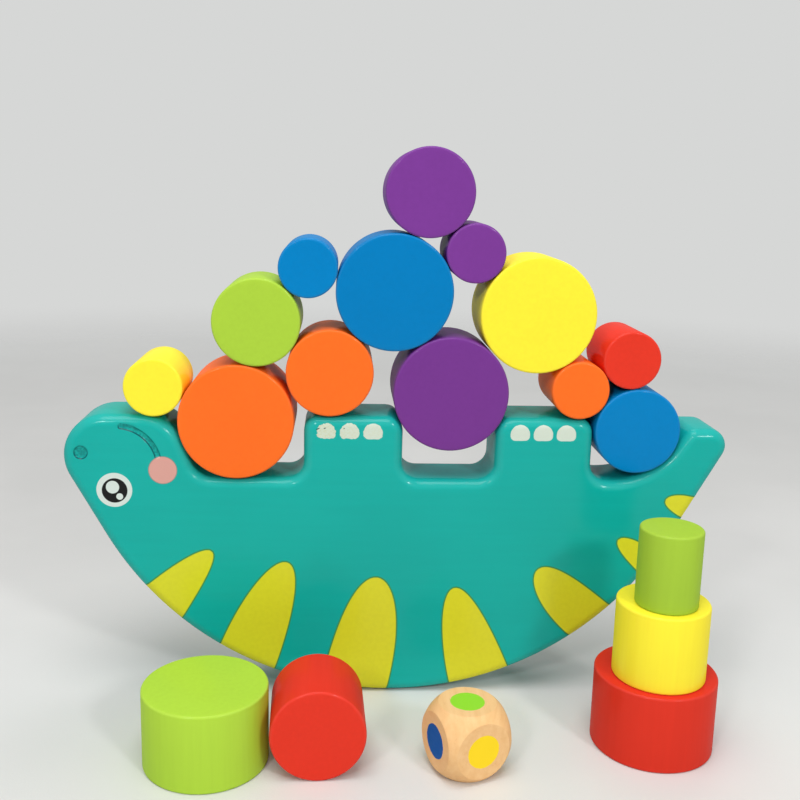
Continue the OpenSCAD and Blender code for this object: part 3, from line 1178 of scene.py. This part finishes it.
@dataclass
class ColorDie:
    """The beech die: a cube whose corners are turned off by a ball, with a painted dot on each flat."""

    node: str = "color_die"
    width: float = 22.6
    flat_r: float = 9.3
    dot_r: float = 5.5
    dot_wander: Mottle = Mottle(900.0, 2.0, over=(-0.06, 0.06))
    place: Point = (22.8, -59.6)
    turn: float = 22.0
    crease: float = 0.1
    around: int = 128
    flat_rings: tuple[float, ...] = (0.2, 0.4, 0.6, 0.75, 0.88, 0.95, 0.98, 0.993, 1.0)
    ball_rings: tuple[float, ...] = (0.012, 0.035, 0.08, 0.16, 0.28, 0.42, 0.56, 0.7, 0.85, 1.0)
    weld_digits: int = 4
    dots: tuple[DieDot, ...] = (
        DieDot(2, 1, linear((146, 216, 52))),
        DieDot(1, -1, linear((255, 220, 40))),
        DieDot(0, -1, linear((4, 86, 168))),
        DieDot(2, -1, linear((222, 62, 45))),
        DieDot(1, 1, linear((250, 122, 40))),
        DieDot(0, 1, linear((120, 62, 146))),
    )

    def side(self, dot: DieDot) -> tuple[np.ndarray, np.ndarray]:
        """One side of the die, as rings about its own axis after a point in its middle.

        A ring leans from the axis by a tangent t. Up to the flat's edge it meets the flat, half the width
        away along the axis, and beyond it the ball, whose radius is the distance to that edge. A soft
        minimum of the two eases the crease. The last ring follows the cube's edges, at t = 1 over the larger
        of |cos| and |sin| of the turn about the axis, and there the sides meet.

        Args:
            dot: The side's dot.

        Returns:
            The points and the signed distance of each from the edge of the dot.
        """
        half = self.width / 2
        turn = full_turn(self.around)
        edge = 1 / np.maximum(np.abs(np.cos(turn)), np.abs(np.sin(turn)))
        flat_t = self.flat_r / half
        lean = np.concatenate([np.outer(self.flat_rings, np.full_like(turn, flat_t)),
                               flat_t + np.outer(self.ball_rings, edge - flat_t)])
        length = np.sqrt(1 + lean**2)
        flat, ball = half * length, math.hypot(half, self.flat_r)
        over = np.maximum(self.crease - np.abs(flat - ball), 0) / self.crease
        reach = (np.minimum(flat, ball) - over**2 * self.crease / 4) / length
        local = np.concatenate([[[0, 0, half]], rings_about_z(reach * lean, reach, self.around)])
        turned = np.empty_like(local)
        turned[:, dot.axis] = local[:, 2] * dot.sign
        turned[:, (dot.axis + 1) % 3] = local[:, 0] * dot.sign
        turned[:, (dot.axis + 2) % 3] = local[:, 1]
        return turned, np.hypot(local[:, 0], local[:, 1]) - self.dot_r

    def build(self) -> bpy.types.Object:
        """Joins the six sides, merges the points they share and stands the die on the table.

        Returns:
            The die's piece.
        """
        sides = [self.side(dot) for dot in self.dots]
        count = len(sides[0][0])
        local = np.concatenate([points for points, _ in sides])
        points = local @ turn_about_z(self.turn).T + (*self.place, self.width / 2)
        rounded = np.round(local, self.weld_digits)
        _, first, shared = np.unique(rounded, axis=0, return_index=True, return_inverse=True)
        shared = shared.reshape(-1)
        starts = np.arange(len(sides))[:, None, None] * count
        parts = (fan(1, self.around, 0), 1 + ring_quads((count - 1) // self.around, self.around))
        faces = [shared[(part + starts).reshape(-1, part.shape[1])] for part in parts]
        inks = np.repeat([[*dot.ink, 1.0] for dot in self.dots], count, axis=0)
        values = {"dot": np.concatenate([distance for _, distance in sides])[first], "ink": inks[first]}
        return make_piece("die_beech", points[first], faces, values)

    def dress(self) -> bpy.types.Material:
        """Bare beech with the dots painted on it, whose edges wander a little.

        Returns:
            The die's material.
        """
        graph = Graph("beech_die")
        wood = BareBeech().wood(graph)
        painted = graph.inside(graph.math("ADD", graph.value("dot"), graph.mottle(self.dot_wander)))
        graph.put("Base Color", graph.mix(painted, wood, graph.color("ink")))
        return graph.owner

    def make(self) -> None:
        """Builds the die and mounts it on its body."""
        mount_piece(self.build(), self.dress(), self.node)


@dataclass(frozen=True)
class SoftBox:
    """A square studio lamp that looks at the middle of the pile."""

    name: str
    place: Triple
    size: float
    watts: float
    aim: Triple = (0.0, 0.0, 90.0)

    def make(self) -> None:
        """Hangs the lamp."""
        lamp = bpy.data.lights.new(self.name, "AREA")
        lamp.shape = "SQUARE"
        lamp.size = self.size * MM
        lamp.energy = self.watts
        hung = bpy.data.objects.new(self.name, lamp)
        hung.location = Vector(self.place) * MM
        hung.rotation_euler = (Vector(self.aim) - Vector(self.place)).to_track_quat("-Z", "Y").to_euler()
        bpy.context.scene.collection.objects.link(hung)


@dataclass
class Studio:
    """The pale table, the soft lamps and the camera at the photograph's place."""

    table_r: float = 2600.0
    table_rings: int = 12
    table_around: int = 96
    table_color: Rgb = linear((216, 216, 214))
    table_drift: Pair = (0.97, 1.02)
    table_clouds: Mottle = Mottle(9.0, 3.0)
    table_roughness: float = 0.85
    table_gloss: float = 0.2
    table_fade: Pair = (0.3, 1.2)
    grit_scale: float = 1400.0
    grit_bump: float = 0.2
    grit_depth: float = 0.0003
    backdrop: Rgb = linear((214, 215, 214))
    ambient: float = 0.3
    camera_place: Triple = (-19.35, -346.94, 184.61)
    yaw: float = 2.733
    pitch: float = 11.177
    roll: float = 1.289
    focal_px: float = 986.5
    axis_px: Point = (385.8, 377.2)
    sensor: float = 36.0
    nearest: float = 10.0
    lamps: tuple[SoftBox, ...] = (
        SoftBox("top_softbox", (-100.0, -320.0, 1080.0), 700.0, 7.4),
        SoftBox("front_softbox", (300.0, -1000.0, 700.0), 900.0, 0.5),
        SoftBox("back_softbox", (160.0, 540.0, 1040.0), 500.0, 2.0),
        SoftBox("left_window", (-420.0, -860.0, 620.0), 130.0, 2.3),
        SoftBox("right_window", (500.0, -820.0, 620.0), 130.0, 2.9),
    )

    def dress_table(self) -> bpy.types.Material:
        """Matt pale finish with a fine grit, clear from some way off, so that the backdrop shows there.

        Returns:
            The table top's material.
        """
        graph = Graph("pale_table")
        clouds = graph.mottle(self.table_clouds)
        graph.put("Base Color", graph.drift(clouds, self.table_color, *self.table_drift))
        graph.put("Roughness", self.table_roughness)
        graph.put("Specular IOR Level", self.table_gloss)
        graph.bump(graph.noise(self.grit_scale, detail=2.0), self.grit_bump, self.grit_depth)
        away = graph.node("ShaderNodeVectorMath", {0: graph.place}, operation="LENGTH").outputs["Value"]
        far = graph.spread(away, *self.table_fade, 0.0, 1.0)
        graph.blend(far, graph.node("ShaderNodeBsdfTransparent", {}))
        return graph.owner

    def table(self) -> None:
        """Lays a round table top."""
        reach = self.table_r * np.linspace(0, 1, self.table_rings)[1:, None]
        rings = rings_about_z(reach, 0 * reach, self.table_around)
        points = np.concatenate([rings, np.zeros((1, 3))])
        faces = [ring_quads(len(reach), self.table_around), fan(0, self.table_around, len(rings))]
        top = make_piece("table_top", points, faces, {})
        top.data.materials.append(self.dress_table())

    def world(self) -> None:
        """Fills the room with even light; the camera, gloss and glass see the backdrop's own colour."""
        graph = Graph("studio_room", Home.WORLD)
        graph.put("Color", (1.0, 1.0, 1.0))
        graph.put("Strength", self.ambient)
        rays = graph.node("ShaderNodeLightPath", {}).outputs
        shown = graph.math("MAXIMUM", rays["Is Camera Ray"], rays["Is Glossy Ray"])
        shown = graph.math("MAXIMUM", shown, rays["Is Transmission Ray"])
        graph.blend(shown, graph.node("ShaderNodeBackground", {"Color": self.backdrop}))
        bpy.context.scene.world = graph.owner

    def camera(self) -> None:
        """Stands the camera at its place, turned by yaw, pitch and roll, its lens axis off the middle."""
        yaw, pitch = math.radians(self.yaw), math.radians(self.pitch)
        ahead = Vector((math.sin(yaw) * math.cos(pitch), math.cos(yaw) * math.cos(pitch), -math.sin(pitch)))
        level = Vector((math.cos(yaw), -math.sin(yaw), 0.0))
        right = Matrix.Rotation(-math.radians(self.roll), 3, ahead) @ level
        up = right.cross(ahead)
        data = bpy.data.cameras.new("photo_camera")
        data.sensor_width = self.sensor
        data.lens = self.focal_px / IMAGE_PX * self.sensor
        data.shift_x = 0.5 - self.axis_px[0] / IMAGE_PX
        data.shift_y = self.axis_px[1] / IMAGE_PX - 0.5
        data.clip_start = self.nearest * MM
        stand = bpy.data.objects.new("photo_camera", data)
        axes = Matrix((right, up, -ahead)).transposed()
        stand.matrix_world = Matrix.Translation(Vector(self.camera_place) * MM) @ axes.to_4x4()
        bpy.context.scene.collection.objects.link(stand)
        bpy.context.scene.camera = stand

    def make(self) -> None:
        """Sets up the whole studio."""
        self.camera()
        self.table()
        self.world()
        for lamp in self.lamps:
            lamp.make()
        bpy.context.scene.view_settings.view_transform = "Standard"


PILED_BLOCKS = (
    "orange_large", "purple_large", "blue_medium", "orange_medium", "orange_small", "yellow_small",
    "green_medium", "blue_large", "yellow_large", "red_small", "blue_small", "purple_small", "purple_medium",
)
STANDING_BLOCKS = ("green_large", "red_large", "yellow_medium", "green_small")
LYING_BLOCK = "red_medium"
LYING_TURN = 2.0
# Darker copies of a paint for some blocks: partly paint that differs from block to block, partly painted
# shade where those blocks get less light.
BLOCK_PAINT_AND_SHADE_TONES = {
    "green_small": 0.83, "purple_large": 0.9, "blue_large": 0.93, "green_medium": 0.92, "red_large": 0.9,
}


def main() -> None:
    """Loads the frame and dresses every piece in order."""
    logging.basicConfig(level=logging.INFO, format="%(name)s: %(message)s")
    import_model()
    Studio().make()
    DinoBoard().make()
    for node in PILED_BLOCKS:
        RoundBlock(node, Along.Y, paint_and_shade_tone=BLOCK_PAINT_AND_SHADE_TONES.get(node, 1.0)).make()
    RoundBlock(LYING_BLOCK, Along.Y, turn=LYING_TURN).make()
    for node in STANDING_BLOCKS:
        RoundBlock(node, Along.Z, paint_and_shade_tone=BLOCK_PAINT_AND_SHADE_TONES.get(node, 1.0)).make()
    ColorDie().make()


if __name__ == "__main__":
    main()
